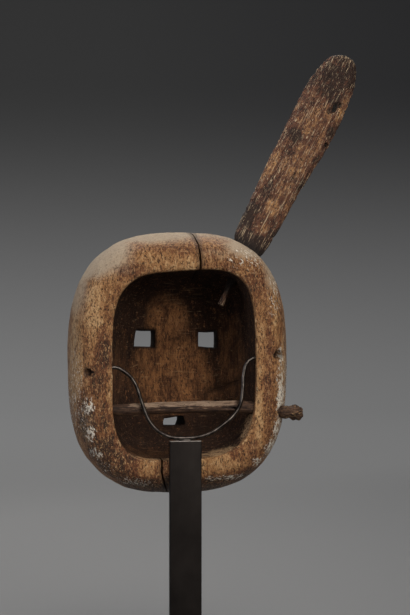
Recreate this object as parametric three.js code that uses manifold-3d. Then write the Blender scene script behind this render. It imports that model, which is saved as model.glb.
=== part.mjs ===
// A face mask of carved wood with one horn and a bite bar, on its steel display stand.
// Millimetres, +Z up. The mask's open back looks along -Y and its carved face along +Y.
// The origin is the middle of the foot's underside.
import * as THREE from "three";
import { ConvexGeometry } from "three/addons/geometries/ConvexGeometry.js";
import { mergeVertices } from "three/addons/utils/BufferGeometryUtils.js";
import Module from "manifold-3d";

const wasm = await Module();
wasm.setup();

// Clearance between two pieces that touch, and around a wooden piece plugged into another.
const GAP = 0.3;
const PLUG_GAP = 0.4;

// Stand: a flat foot, an upright flat bar and a bent round rod.
const FOOT = { width: 180, depth: 170, height: 12, corner: 3, chamfer: 1 };
const POST = { width: 32, thickness: 8, top: 250, y: -52, corner: 0.6, chamfer: 0.5 };
const ROD = { radius: 2, sides: 8, steps: 76, insertion: 14 };

// Mask: depths are measured from the plane of its rim towards the face, and heights from the
// middle of that plane. A ring's rise is how much its height grows for each millimetre of x.
const RIM_ABOVE_POST = 73.8;
const OPENING = { halfWidth: 72, halfHeight: 94.2, squareness: 4, x: 0.1, z: 1.5, rise: 0.06 };
const HOLLOW = { depth: 97, roundness: 3.2, rings: 11 };
const BODY = { halfWidth: 112.8, halfHeight: 133.8, squareness: 2.76, x: -1, z: 2.6, rise: 0.01 };
const SIDE = { widestDepth: 58, roundness: 2.2, rings: 9 };
const FRONT = { depth: 130, roundness: 2.5, rings: 15 };
const RIM = { chamfer: 1.2, flatShare: 0.3 };
const SHELL_SEGMENTS = 64;

// Face, on its own middle line: a heart-shaped recess with a dished floor, a straight nose and a
// raised mouth. The heart's right half is three Bezier curves, as x and height.
const FACE_X = 3;
const HEART = {
  notch: 38,
  brow: [[9, 51], [29, 58], [43, 48]],
  cheek: [[61, 36], [67, 8], [61, -20]],
  jaw: [[55, -52], [30, -77], [0, -77]],
  curveSteps: 7,
};
const DISH = { depth: 172, z: -6, half: [140, 59, 150], columns: 60, rows: 36 };
const NOSE = {
  root: 100,
  sections: [
    { z: 52, half: 6, ridgeHalf: 2, depth: 127 },
    { z: 30, half: 9, ridgeHalf: 2.4, depth: 128 },
    { z: -22, half: 15, ridgeHalf: 3.4, depth: 132 },
    { z: -30, half: 12, ridgeHalf: 2, depth: 122 },
  ],
};
const LIPS = {
  x: -3,
  z: -61.5,
  halfWidth: 22,
  halfHeight: 13.5,
  root: 100,
  depth: 124,
  taper: 0.72,
  segments: 24,
};

// Holes cut through the face: the corners of each, as x and height, at an inner and an outer
// depth, anticlockwise from its lower left as seen from the open back.
const FACE_HOLES = {
  innerDepth: 96,
  outerDepth: 118,
  overshoot: 1.2,
  corners: [
    {
      inner: [[-41.7, 17.7], [-19.7, 17.1], [-19.2, 35.3], [-39.7, 35.7]],
      outer: [[-39.5, 17.9], [-23.2, 17.6], [-22.6, 33.5], [-38.4, 34.2]],
    },
    {
      inner: [[26.9, 17.9], [45.6, 16.1], [45.6, 34.1], [26.9, 33.3]],
      outer: [[28.3, 17.6], [45.8, 16.4], [46, 32.5], [28.3, 32.4]],
    },
    {
      inner: [[-11.1, -65.3], [9.5, -64.8], [9.5, -55.4], [-9.9, -57.9]],
      outer: [[-9.4, -65.8], [5.8, -66.1], [7.4, -57.1], [-8.4, -58.4]],
    },
  ],
};

// Small holes in the two sides, where the mask was once tied on: x, depth and height of the
// middle of each at its inside and outside ends.
const CORD_HOLES = {
  radius: 3.2,
  segments: 14,
  overshoot: 12,
  left: { inside: [-68.4, 8, -1.6], outside: [-94.3, 5, -5.5] },
  right: { inside: [71.4, 9, 7.2], outside: [94.6, 5, 11.1] },
};

// Horn: where its middle line leaves the mask, its leans, and its half width and half thickness
// at stations along that line, from the blunt end of the tenon to the tip.
const HORN = {
  base: [71.5, 50, 118.1],
  leanOut: THREE.MathUtils.degToRad(29.3),
  leanForward: THREE.MathUtils.degToRad(13),
  squareness: 2.6,
  segments: 24,
  stations: [
    { at: -66, half: 0, thick: 0, shift: 1.4 },
    { at: -66, half: 3.4, thick: 3, shift: 1.4 },
    { at: -59, half: 3.3, thick: 2.9, shift: 1 },
    { at: -52, half: 2.4, thick: 2.4, shift: 0.4 },
    { at: -44, half: 3.2, thick: 3.2 },
    { at: -12, half: 12, thick: 6.6 },
    { at: 8, half: 17.8, thick: 7.6, shift: -0.7 },
    { at: 55, half: 20.9, thick: 7.4, shift: -0.9 },
    { at: 83, half: 22.3, thick: 7, shift: -1 },
    { at: 112, half: 24.5, thick: 6.6, shift: -0.5 },
    { at: 145, half: 26.7, thick: 6.2, shift: 0.9 },
    { at: 178, half: 26.8, thick: 5.8, shift: 0.4 },
    { at: 205, half: 25.2, thick: 5.2 },
    { at: 222, half: 23.2, thick: 4.7 },
    { at: 233, half: 20, thick: 4.1 },
    { at: 240, half: 15.9, thick: 3.6, shift: -0.3 },
    { at: 244, half: 12.2, thick: 3.1, shift: 0.9 },
    { at: 246.6, half: 8, thick: 2.6, shift: 2 },
    { at: 248, half: 3.6, thick: 1.8, shift: 2.8 },
    { at: 248, half: 0, thick: 0, shift: 2.8 },
  ],
};

// Bite bar: a slightly bowed stick from the left wall, through the hollow and the right wall, to
// its knob. Each station is its place along x, its height and its radius. The sockets follow the
// stations that the walls hold, and run out straight past the right wall.
const BAR = {
  depth: 13,
  segments: 16,
  heldStations: 9,
  socketRun: 20,
  stations: [
    { x: -84, z: -44, radius: 0 },
    { x: -84, z: -44, radius: 5.2 },
    { x: -62, z: -43.8, radius: 6.1 },
    { x: -26, z: -42.2, radius: 6.2 },
    { x: 3, z: -41.5, radius: 6.3 },
    { x: 33, z: -41.6, radius: 6.4 },
    { x: 60, z: -41.8, radius: 6.6 },
    { x: 78, z: -43.4, radius: 6.5 },
    { x: 99, z: -46.5, radius: 5.2 },
    { x: 107, z: -47.2, radius: 5.5 },
    { x: 112.5, z: -47.3, radius: 7.9 },
    { x: 118, z: -47.5, radius: 8.2 },
    { x: 121.6, z: -47.6, radius: 6.6 },
    { x: 122.6, z: -47.6, radius: 0 },
  ],
};

// Rod: the middle line of its U, as x, depth and height. Its ends are worked out from the holes.
const ROD_BEND = [
  [-61.1, 7.6, -4.4],
  [-53.5, 6.8, -10.7],
  [-48, 5.6, -19.8],
  [-43.3, 3.4, -34.5],
  [-36, 0, -53.6],
  [-27.9, -2.2, -63.4],
  [-16, -3.8, -70],
  [-3, -4.3, -71.4],
  [13, -3.9, -70.4],
  [26.5, -2.8, -66.2],
  [38.3, -1.2, -58.6],
  [48.7, 0.8, -50.3],
  [56.6, 3, -38.5],
  [59.7, 5.4, -22.3],
  [60.6, 7, -9],
  [64.4, 8.4, 3.4],
];

const OLD_WOOD = new THREE.MeshStandardMaterial({ color: 0x8a6340, roughness: 0.75, metalness: 0 });
const DARK_WOOD = new THREE.MeshStandardMaterial({ color: 0x5f4633, roughness: 0.75, metalness: 0 });
const GREY_WOOD = new THREE.MeshStandardMaterial({ color: 0x6b584a, roughness: 0.8, metalness: 0 });
const BLACK_STEEL = new THREE.MeshStandardMaterial({ color: 0x1e1a19, roughness: 0.5, metalness: 0.6 });

const { lerp } = THREE.MathUtils;

// Turns a three.js geometry into a solid that can be joined and cut.
function solidOf(geometry, matrix = new THREE.Matrix4()) {
  const bare = geometry.index ? geometry.toNonIndexed() : geometry.clone();
  bare.applyMatrix4(matrix);
  bare.deleteAttribute("normal");
  bare.deleteAttribute("uv");
  const merged = mergeVertices(bare);
  const corners = merged.index.array;
  const triangles = [];
  for (let i = 0; i < corners.length; i += 3) {
    const [a, b, c] = corners.subarray(i, i + 3);
    if (a !== b && b !== c && c !== a) triangles.push(a, b, c);
  }
  const vertProperties = merged.attributes.position.array;
  const build = (list) =>
    new wasm.Manifold(new wasm.Mesh({ numProp: 3, vertProperties, triVerts: new Uint32Array(list) }));
  const solid = build(triangles);
  return solid.volume() > 0 ? solid : build(triangles.reverse());
}

// Turns a solid back into a geometry for a mesh.
function geometryOf(solid) {
  const mesh = solid.getMesh();
  const position = new THREE.BufferAttribute(Float32Array.from(mesh.vertProperties), mesh.numProp);
  const geometry = new THREE.BufferGeometry().setAttribute("position", position);
  geometry.setIndex(new THREE.BufferAttribute(Uint32Array.from(mesh.triVerts), 1));
  geometry.computeVertexNormals();
  return geometry;
}

// Distance from the middle of a superellipse to its edge, in the direction of an angle.
function edgeDistance(angle, ring) {
  const across = (Math.abs(Math.cos(angle)) / ring.halfX) ** ring.squareness;
  const up = (Math.abs(Math.sin(angle)) / ring.halfZ) ** ring.squareness;
  return (across + up) ** (-1 / ring.squareness);
}

// A closed body lofted through superellipse rings stacked along Y. Each ring has its middle, its
// half sizes along X and Z, its squareness and its rise. The first and last rings are points.
function loft(rings, segments) {
  const profile = rings.map((ring, i) => new THREE.Vector2(ring.halfX > 0 ? 1 : 0, i));
  const geometry = new THREE.LatheGeometry(profile, segments);
  const position = geometry.getAttribute("position");
  for (let i = 0; i < position.count; i++) {
    const column = Math.floor(i / rings.length) % segments;
    const angle = (2 * Math.PI * column) / segments;
    const ring = rings[i % rings.length];
    const reach = ring.halfX > 0 ? edgeDistance(angle, ring) : 0;
    const across = reach * Math.cos(angle);
    const up = reach * Math.sin(angle) + across * (ring.rise ?? 0);
    position.setXYZ(i, ring.x + across, ring.y, ring.z + up);
  }
  return geometry;
}

// Even steps round a quarter of a superellipse, as shares of its two half sizes.
function quarter(roundness, steps) {
  return Array.from({ length: steps + 1 }, (_, i) => {
    const angle = (Math.PI / 2) * (i / steps);
    const reach = edgeDistance(angle, { halfX: 1, halfZ: 1, squareness: roundness });
    return { along: reach * Math.sin(angle), across: i === steps ? 0 : reach * Math.cos(angle) };
  });
}

// A ring between two others, at its own depth.
function ringBetween(from, to, share, depth) {
  const ring = { y: depth };
  for (const key of ["x", "z", "halfX", "halfZ", "squareness", "rise"]) {
    ring[key] = lerp(from[key], to[key], share);
  }
  return ring;
}

// A ring of an outline, at a depth and grown by a margin or scaled by a share.
function ringOf(outline, depth, share = 1, margin = 0) {
  return {
    x: outline.x,
    y: depth,
    z: outline.z,
    halfX: outline.halfWidth * share + margin,
    halfZ: outline.halfHeight * share + margin,
    squareness: outline.squareness,
    rise: outline.rise,
  };
}

// The shell's rings: up the hollow, over the rim, down the side and round the front.
function shellRings() {
  const hollow = quarter(HOLLOW.roundness, HOLLOW.rings).map(({ along, across }) =>
    ringOf(OPENING, RIM.chamfer + (HOLLOW.depth - RIM.chamfer) * along, across),
  );
  const rimInner = ringOf(OPENING, 0, 1, RIM.chamfer);
  const widest = ringOf(BODY, SIDE.widestDepth);
  const rimOuter = ringBetween(rimInner, widest, RIM.flatShare, 0);
  const side = quarter(SIDE.roundness, SIDE.rings).map(({ along, across }) =>
    ringBetween(rimOuter, widest, along, SIDE.widestDepth * (1 - across)),
  );
  const front = quarter(FRONT.roundness, FRONT.rings).map(({ along, across }) =>
    ringOf(BODY, lerp(SIDE.widestDepth, FRONT.depth, along), across),
  );
  return [...hollow.reverse(), rimInner, ...side, ...front.slice(1)];
}

// The heart's outline, from its notch down its right side and up its left.
function heartShape() {
  const right = [HEART.brow, HEART.cheek, HEART.jaw];
  const outline = new THREE.Shape();
  outline.moveTo(0, HEART.notch);
  for (const curve of right) outline.bezierCurveTo(...curve.flat());
  const mirror = ([x, z]) => [-x, z];
  for (const [i, curve] of [...right.entries()].reverse()) {
    const end = i > 0 ? right[i - 1][2] : [0, HEART.notch];
    outline.bezierCurveTo(...mirror(curve[1]), ...mirror(curve[0]), ...mirror(end));
  }
  return outline;
}

// The cutter for the face's recess: a heart-shaped block whose back is dished.
function recess() {
  const block = new THREE.ExtrudeGeometry(heartShape(), {
    depth: DISH.depth - HOLLOW.depth,
    bevelEnabled: false,
    curveSegments: HEART.curveSteps,
  });
  block.rotateX(Math.PI / 2);
  block.translate(FACE_X, DISH.depth, 0);
  const dish = new THREE.SphereGeometry(1, DISH.columns, DISH.rows);
  dish.scale(...DISH.half);
  dish.translate(FACE_X, DISH.depth, DISH.z);
  return solidOf(block).intersect(solidOf(dish));
}

// The nose: flat planes from a narrow bridge to a broad base, rooted in the face's wall.
function nose() {
  const corners = NOSE.sections.flatMap(({ z, half, ridgeHalf, depth }) => [
    new THREE.Vector3(FACE_X - half, NOSE.root, z),
    new THREE.Vector3(FACE_X - ridgeHalf, depth, z),
    new THREE.Vector3(FACE_X + ridgeHalf, depth, z),
    new THREE.Vector3(FACE_X + half, NOSE.root, z),
  ]);
  return new ConvexGeometry(corners);
}

// The raised mouth: an oval block with sloping sides, rooted in the face's wall.
function lips() {
  const geometry = new THREE.CylinderGeometry(LIPS.taper, 1, LIPS.depth - LIPS.root, LIPS.segments);
  geometry.scale(LIPS.halfWidth, 1, LIPS.halfHeight);
  return geometry.translate(FACE_X + LIPS.x, (LIPS.depth + LIPS.root) / 2, LIPS.z);
}

// The cutter for one hole through the face.
function faceHole({ inner, outer }) {
  const geometry = new THREE.BoxGeometry(1, 1, 1);
  const position = geometry.getAttribute("position");
  for (let i = 0; i < position.count; i++) {
    const right = position.getX(i) > 0;
    const upper = position.getZ(i) > 0;
    const corner = upper ? (right ? 2 : 3) : right ? 1 : 0;
    const along = position.getY(i) < 0 ? -FACE_HOLES.overshoot : 1 + FACE_HOLES.overshoot;
    position.setXYZ(
      i,
      lerp(inner[corner][0], outer[corner][0], along),
      lerp(FACE_HOLES.innerDepth, FACE_HOLES.outerDepth, along),
      lerp(inner[corner][1], outer[corner][1], along),
    );
  }
  return geometry;
}

// The cutter for a cord hole: a straight round bar that runs past both ends of the hole.
function cordHole({ inside, outside }) {
  const from = new THREE.Vector3(...inside);
  const to = new THREE.Vector3(...outside);
  const along = to.clone().sub(from);
  const length = along.length() + 2 * CORD_HOLES.overshoot;
  const { radius, segments } = CORD_HOLES;
  const geometry = new THREE.CylinderGeometry(radius, radius, length, segments);
  const turn = new THREE.Quaternion().setFromUnitVectors(new THREE.Vector3(0, 1, 0), along.normalize());
  geometry.applyQuaternion(turn);
  const middle = from.add(to).multiplyScalar(0.5);
  return geometry.translate(middle.x, middle.y, middle.z);
}

// The horn, lofted along its own Y from the tenon's flat end to the tip. A clearance swells it, and
// moves the two rings of that flat end out by as much.
function hornGeometry(clearance = 0) {
  const rings = HORN.stations.map((station, i) => ({
    x: station.shift ?? 0,
    y: station.at - (i < 2 ? clearance : 0),
    z: 0,
    halfX: station.half ? station.half + clearance : 0,
    halfZ: station.thick ? station.thick + clearance : 0,
    squareness: HORN.squareness,
  }));
  return loft(rings, HORN.segments);
}

// The horn's place: its length leans to the side and forward, and its width stays across the back.
function hornMatrix() {
  const { leanOut, leanForward } = HORN;
  const length = new THREE.Vector3(
    Math.sin(leanOut) * Math.cos(leanForward),
    Math.sin(leanForward),
    Math.cos(leanOut) * Math.cos(leanForward),
  );
  const width = new THREE.Vector3(Math.cos(leanOut), 0, -Math.sin(leanOut));
  const thickness = new THREE.Vector3().crossVectors(width, length);
  return new THREE.Matrix4().makeBasis(width, length, thickness).setPosition(...HORN.base);
}

// A round bar lofted along its own Y through stations, swollen by a clearance as the horn is.
function barGeometry(stations, clearance = 0) {
  const rings = stations.map((station, i) => ({
    x: station.z,
    y: station.x - (i < 2 ? clearance : 0),
    z: 0,
    halfX: station.radius ? station.radius + clearance : 0,
    halfZ: station.radius ? station.radius + clearance : 0,
    squareness: 2,
  }));
  return loft(rings, BAR.segments);
}

// The bar's place: its length runs along X and its bow along Z, at its depth in the mask.
function barMatrix() {
  const bow = new THREE.Vector3(0, 0, 1);
  const length = new THREE.Vector3(1, 0, 0);
  const across = new THREE.Vector3().crossVectors(bow, length);
  return new THREE.Matrix4().makeBasis(bow, length, across).setPosition(0, BAR.depth, 0);
}

// The cutter for the bar's sockets: the bar without its knob, run out straight past the wall.
function barSocket() {
  const held = BAR.stations.slice(0, BAR.heldStations);
  const [last, next] = BAR.stations.slice(BAR.heldStations - 1);
  const slope = (next.z - last.z) / (next.x - last.x);
  const end = { x: last.x + BAR.socketRun, z: last.z + BAR.socketRun * slope, radius: last.radius };
  return barGeometry([...held, end, { ...end, radius: 0 }], PLUG_GAP);
}

// The carved shell: the recess leaves the nose and the mouth standing, then come the holes.
function shellGeometry() {
  const block = solidOf(loft(shellRings(), SHELL_SEGMENTS));
  let shell = block.subtract(recess()).add(solidOf(nose())).add(solidOf(lips()));
  const cutters = [
    ...FACE_HOLES.corners.map((hole) => solidOf(faceHole(hole))),
    solidOf(cordHole(CORD_HOLES.left)),
    solidOf(cordHole(CORD_HOLES.right)),
    solidOf(hornGeometry(PLUG_GAP), hornMatrix()),
    solidOf(barSocket(), barMatrix()),
  ];
  for (const cutter of cutters) shell = shell.subtract(cutter);
  return geometryOf(shell);
}

// A flat plate or bar with rounded upright edges and chamfered ends, standing on its lower end.
const CORNER_SEGMENTS = 3;
function chamferedBlock({ width, depth, height, corner, chamfer }) {
  const x = width / 2 - chamfer - corner;
  const y = depth / 2 - chamfer - corner;
  const outline = new THREE.Shape();
  outline.absarc(x, -y, corner, -Math.PI / 2, 0);
  outline.absarc(x, y, corner, 0, Math.PI / 2);
  outline.absarc(-x, y, corner, Math.PI / 2, Math.PI);
  outline.absarc(-x, -y, corner, Math.PI, 1.5 * Math.PI);
  outline.closePath();
  const geometry = new THREE.ExtrudeGeometry(outline, {
    depth: height - 2 * chamfer,
    bevelThickness: chamfer,
    bevelSize: chamfer,
    bevelSegments: 1,
    curveSegments: CORNER_SEGMENTS,
  });
  return geometry.translate(0, 0, chamfer);
}

// Two points of the rod's straight end in a cord hole, as high as lets it carry the hole's top.
function rodEnd({ inside, outside }) {
  const from = new THREE.Vector3(...inside);
  const into = new THREE.Vector3(...outside).sub(from).normalize();
  from.z += CORD_HOLES.radius - ROD.radius - 2 * GAP;
  return [from, from.clone().addScaledVector(into, ROD.insertion)];
}

// The bent rod, from inside one cord hole, down over the post and up into the other.
function rodGeometry() {
  const [leftMouth, leftEnd] = rodEnd(CORD_HOLES.left);
  const [rightMouth, rightEnd] = rodEnd(CORD_HOLES.right);
  const bend = ROD_BEND.map((point) => new THREE.Vector3(...point));
  const path = new THREE.CatmullRomCurve3([leftEnd, leftMouth, ...bend, rightMouth, rightEnd]);
  const section = new THREE.Shape(
    Array.from({ length: ROD.sides }, (_, i) => {
      const angle = (2 * Math.PI * (i + 0.5)) / ROD.sides;
      return new THREE.Vector2(ROD.radius * Math.cos(angle), ROD.radius * Math.sin(angle));
    }),
  );
  return new THREE.ExtrudeGeometry(section, { steps: ROD.steps, extrudePath: path });
}

function named(name, geometry, material) {
  const mesh = new THREE.Mesh(geometry, material);
  mesh.name = name;
  return mesh;
}

const maskAndRod = new THREE.Group();
maskAndRod.position.set(0, POST.y + POST.thickness / 2 + GAP, POST.top + RIM_ABOVE_POST);
maskAndRod.add(named("mask_shell", shellGeometry(), OLD_WOOD));

const horn = named("horn", geometryOf(solidOf(hornGeometry())), DARK_WOOD);
horn.applyMatrix4(hornMatrix());
maskAndRod.add(horn);

const biteBar = named("bite_bar", geometryOf(solidOf(barGeometry(BAR.stations))), GREY_WOOD);
biteBar.applyMatrix4(barMatrix());
maskAndRod.add(biteBar);
maskAndRod.add(named("cradle_rod", rodGeometry(), BLACK_STEEL));

const foot = named("stand_foot", chamferedBlock(FOOT), BLACK_STEEL);
const postHeight = POST.top - FOOT.height - GAP;
const postSize = { ...POST, depth: POST.thickness, height: postHeight };
const post = named("stand_post", chamferedBlock(postSize), BLACK_STEEL);
post.position.set(0, POST.y, FOOT.height + GAP);

const maskOnStand = new THREE.Group();
maskOnStand.add(maskAndRod, foot, post);
export default maskOnStand;
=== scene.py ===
"""A carved wooden face mask, seen from its open back, on a display stand of blackened steel.

The mask's shell, its horn, its bite bar and the bent rod get fine surfaces made from the fixed
frame's solids, and the post and the foot get eased edges. Everything is in metres, +Z up,
with the mask's open back towards -Y.
"""

import math

import bpy
import numpy as np
from bpy.props import FloatProperty, FloatVectorProperty, PointerProperty
from bpy.types import Operator, Panel, PropertyGroup
from mathutils import Matrix, Vector, noise


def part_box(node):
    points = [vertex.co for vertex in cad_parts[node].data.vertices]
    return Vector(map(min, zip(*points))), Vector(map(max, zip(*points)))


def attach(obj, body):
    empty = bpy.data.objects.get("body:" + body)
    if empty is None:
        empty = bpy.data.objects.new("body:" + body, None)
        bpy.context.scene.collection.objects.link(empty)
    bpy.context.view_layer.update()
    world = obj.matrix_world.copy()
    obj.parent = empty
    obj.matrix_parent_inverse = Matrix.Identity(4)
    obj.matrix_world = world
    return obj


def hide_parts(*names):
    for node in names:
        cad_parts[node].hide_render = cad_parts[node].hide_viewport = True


bl_info = {
    "name": "Carved mask on its stand",
    "version": (1, 0, 0),
    "blender": (4, 5, 0),
    "location": "3D View > Sidebar > Carved mask",
    "description": "Makes a worn carved face mask with one horn on a blackened steel stand",
    "category": "Object",
}

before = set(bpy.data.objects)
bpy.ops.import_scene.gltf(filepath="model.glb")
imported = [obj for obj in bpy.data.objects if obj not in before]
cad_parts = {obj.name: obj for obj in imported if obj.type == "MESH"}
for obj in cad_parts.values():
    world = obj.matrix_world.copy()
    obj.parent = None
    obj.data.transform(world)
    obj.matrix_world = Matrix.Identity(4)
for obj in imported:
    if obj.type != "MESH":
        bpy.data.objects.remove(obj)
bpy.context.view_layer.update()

MM = 0.001

# The middle of the mask's rim plane: its depths, heights and widths are measured from here.
RIM_ABOVE_POST = 73.8 * MM
RIM = Vector((0.0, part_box("mask_shell")[0].y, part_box("stand_post")[1].z + RIM_ABOVE_POST))

# The opening's outline in the rim plane, and how the hollow closes with depth, in millimetres.
OPENING_HALF = (72.0, 94.2)
OPENING_MIDDLE = (0.1, 1.5)
OPENING_RISE = 0.06
OPENING_SQUARENESS = 4.0
HOLLOW_DEPTH = 97.0
HOLLOW_ROUNDNESS = 3.2

# The square holes through the face: the corners of each, as X and height in millimetres, at the
# inner and the outer side of the wall, anticlockwise from the lower left as seen from behind.
HOLE_DEPTHS = (96.0, 118.0)
FACE_HOLES = (
    (
        ((-41.7, 17.7), (-19.7, 17.1), (-19.2, 35.3), (-39.7, 35.7)),
        ((-39.5, 17.9), (-23.2, 17.6), (-22.6, 33.5), (-38.4, 34.2)),
    ),
    (
        ((26.9, 17.9), (45.6, 16.1), (45.6, 34.1), (26.9, 33.3)),
        ((28.3, 17.6), (45.8, 16.4), (46.0, 32.5), (28.3, 32.4)),
    ),
    (
        ((-11.1, -65.3), (9.5, -64.8), (9.5, -55.4), (-9.9, -57.9)),
        ((-9.4, -65.8), (5.8, -66.1), (7.4, -57.1), (-8.4, -58.4)),
    ),
)

# How far the blocks that clean these holes stand clear of their sides, in millimetres, and where
# they begin and end, as shares of the way through the wall.
HOLE_SPARE = 0.15
HOLE_CUT = (-1.2, 2.2)

# The oval that the carved face fills, as its middle and half its width and height, and the depth
# past which a point belongs to the face, in millimetres.
FACE_OVAL = ((3.0, -10.0), (72.0, 75.0))
FACE_DEPTH = 100.0

# In millimetres from the middle of the rim plane: the cord holes, the mouths that cords have worn
# there, each with a reach and a strength, the width of wear round a mouth, and the bar's middle
# line as a depth and a height. The mouths' reach and strength also set the painted shade in the
# cord holes.
CORD_HOLES = ((-82.0, 6.5, -3.5), (83.0, 7.0, 9.0))
CORD_MOUTHS = (((-98.5, 7.0, -5.6), (14, 4, 6.5), 1.0), ((97.5, 6.0, 11.0), (14, 7, 6), 1.0))
AROUND_MOUTH = (14, 9, 9)
BAR_AXIS = (13.0, -43.0)

# How far the shell's left side is drawn in, so that its unevenness stays within the solid's box.
SIDE_TRIM = 0.5 * MM

# The horn's own axes: where its middle line leaves the shell, and how it leans.
HORN_BASE = RIM + Vector((71.5, 50.0, 118.1)) * MM
HORN_LEAN_OUT = math.radians(29.3)
HORN_LEAN_FORWARD = math.radians(13.0)

# Fractal noise: how fast its octaves fade, and how much finer each is than the one before.
NOISE_FADE = 0.7
NOISE_STEP = 2.0

# The steepest angle between two faces that is still shaded as one round surface.
ROUND_ANGLE = math.radians(42)

# The camera's place in metres and its turn to the right, and the faint light of the room.
CAMERA_PLACE = (-0.2166, -1.734, 0.3828)
CAMERA_TURN = math.radians(-8)
ROOM_TINT = "a4a6aa"
ROOM_STRENGTH = 0.12

# The lights: a place and a target in metres, a width, a power in watts, a tint and how wide the
# light spreads, in degrees.
LIGHTS = {
    "key_light": ((0.2, -1.35, 2.1), RIM, 1.1, 4.2, "fff6ec", 70),
    "open_light": ((0.62, -1.85, 1.0), RIM, 0.9, 2.4, "fff6ec", 60),
    "fill_light": ((-1.9, -0.9, 0.9), RIM, 1.4, 2.6, "f6f7ff", 70),
    "front_light": ((0.3, 2.2, 1.8), RIM, 1.6, 2.4, "ffffff", 60),
    "floor_light": ((-0.6, 3.6, 5.0), (-0.3, 4.2, 0.0), 5.0, 215, "ffffff", 180),
}


def linear(code):
    """An sRGB hex colour as linear red, green, blue and alpha."""
    parts = [int(code[i : i + 2], 16) / 255 for i in (0, 2, 4)]
    return (*[p / 12.92 if p <= 0.04045 else ((p + 0.055) / 1.055) ** 2.4 for p in parts], 1.0)


def colour(name, description, code):
    """A colour property with an sRGB hex default."""
    return FloatVectorProperty(
        name=name, description=description, size=4, min=0, max=1, subtype="COLOR", default=linear(code)
    )


def length(name, description, millimetres):
    """A length property with its default in millimetres."""
    return FloatProperty(
        name=name, description=description, default=millimetres * MM, precision=5, unit="LENGTH"
    )


class ShellSettings(PropertyGroup):
    grid: length("Grid", "Spacing of the fine surface's points", 1.75)
    unevenness: length("Unevenness", "How far the hand-carved surface wanders from a true one", 0.8)
    ripple: length("Ripple", "Depth of the small knife marks", 0.3)
    gouge_depth: length("Gouge depth", "Depth of the gouge's strokes in the hollow", 0.5)
    chip_depth: length("Chip depth", "Depth of the dents along the rim's edges", 0.7)
    mouth_wear: length("Mouth wear", "How deep cords have worn the mouths of their holes", 1.4)
    ochre: colour("Ochre", "Handled, rubbed wood", "a97c50")
    brown: colour("Brown", "Wood between the rubbed places", "7c5032")
    red: colour("Red", "Wood stained red-brown in wide, faint clouds", "6e4029")
    stain: colour("Stain", "Old dark crust", "3d291d")
    honey: colour("Honey", "Bare wood where hands and face have rubbed it", "cba577")
    bone: colour("Bone", "Sharp edges worn to pale wood", "d8bb92")
    dust: colour("Dust", "Grey dust on the shoulders", "ab9c87")
    silt_and_light: colour("Silt", "Pale, dusty wood on the hollow's floor", "c4a37c")
    # Silt is also the colour of the painted light on the hollow's floor near the opening.
    kaolin: colour("Kaolin", "What is left of the white clay paint", "f2eadc")
    # Soot is also the colour of the painted shade in grooves, cracks and holes.
    soot_and_shade: colour("Soot", "Blackened wood of the hollow", "22140c")
    umber: colour("Umber", "Brown wood of the hollow", "4c3021")
    # Russet paints the lit patches of the hollow: partly rubbed wood, partly painted light.
    russet: colour("Russet", "Rubbed wood of the hollow", "9c6d46")


class HornSettings(PropertyGroup):
    grid: length("Grid", "Spacing of the fine surface's points", 0.9)
    groove_depth: length("Groove depth", "Depth of the weathered grain", 0.5)
    edge_loss: length("Edge loss", "How much wear has eaten from the blade's edges", 1.0)
    warp: length("Warp", "How far the blade's surface wanders from a true one", 0.5)
    swell: length("Swell", "How much wider the blade is towards its base", 1.2)
    brown: colour("Brown", "Red-brown crust", "5e3c2c")
    tan: colour("Tan", "Thin crust", "876243")
    ochre: colour("Ochre", "Wood where the crust has gone", "b5895a")
    pale: colour("Pale", "Scuffs and raised grain", "cdb797")
    dark: colour("Dark", "Dark crust at the base and the top", "2d1d16")
    # The colour of the painted shade inside the pits, the grooves and the tenon's socket.
    pit_shade: colour("Pit", "Inside of the pits and the nail hole", "0d0806")


class BarSettings(PropertyGroup):
    grid: length("Grid", "Spacing of the fine surface's points", 0.6)
    whittling: length("Whittling", "Depth of the knife's facets", 0.5)
    notch_depth: length("Notch depth", "Depth of the wedge-shaped split in the bar", 3.2)
    fibre_depth: length("Fibre depth", "Depth of the grooves along the bar's grain", 0.3)
    burl: length("Burl", "Height of the lumps on the knob", 0.9)
    neck_growth: length("Neck growth", "How much thicker the neck is than a true round one", 1.7)
    knob_slope: length("Knob slope", "How far the knob's top falls towards its end", 2.4)
    # Grey and grey brown paint the bar's top, and brown and dark its underside and ends: partly the
    # wood's own colours, partly painted light and painted shade.
    grey: colour("Grey", "Dry, greyed wood", "917c69")
    grey_brown: colour("Grey brown", "Dry wood between the greyed places", "6c5746")
    brown: colour("Brown", "Wood darkened by handling", "5c4433")
    ochre: colour("Ochre", "Where the knob's crust has flaked off", "a8875f")
    dark: colour("Dark", "Cracks and the handled underside", "261811")


class SteelSettings(PropertyGroup):
    grid: length("Grid", "Spacing of the rod surface's points", 0.45)
    edge_round: length("Edge round", "How far the post's and the foot's edges are eased", 0.5)
    bead_length: length("Bead length", "Length of the weld between the rod and the post", 14)
    bead_width: length("Bead width", "Width of the weld between the rod and the post", 4.4)
    bead_height: length("Bead height", "Height of the weld between the rod and the post", 2.4)
    black: colour("Black", "Blackened steel of the post and the foot", "201d1c")
    # A painted highlight along the post's top edge.
    bright: colour("Bright", "The post's top, rubbed bare", "a09c98")
    burnished: colour("Burnished", "Rod steel that handling has rubbed", "57524e")


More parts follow.
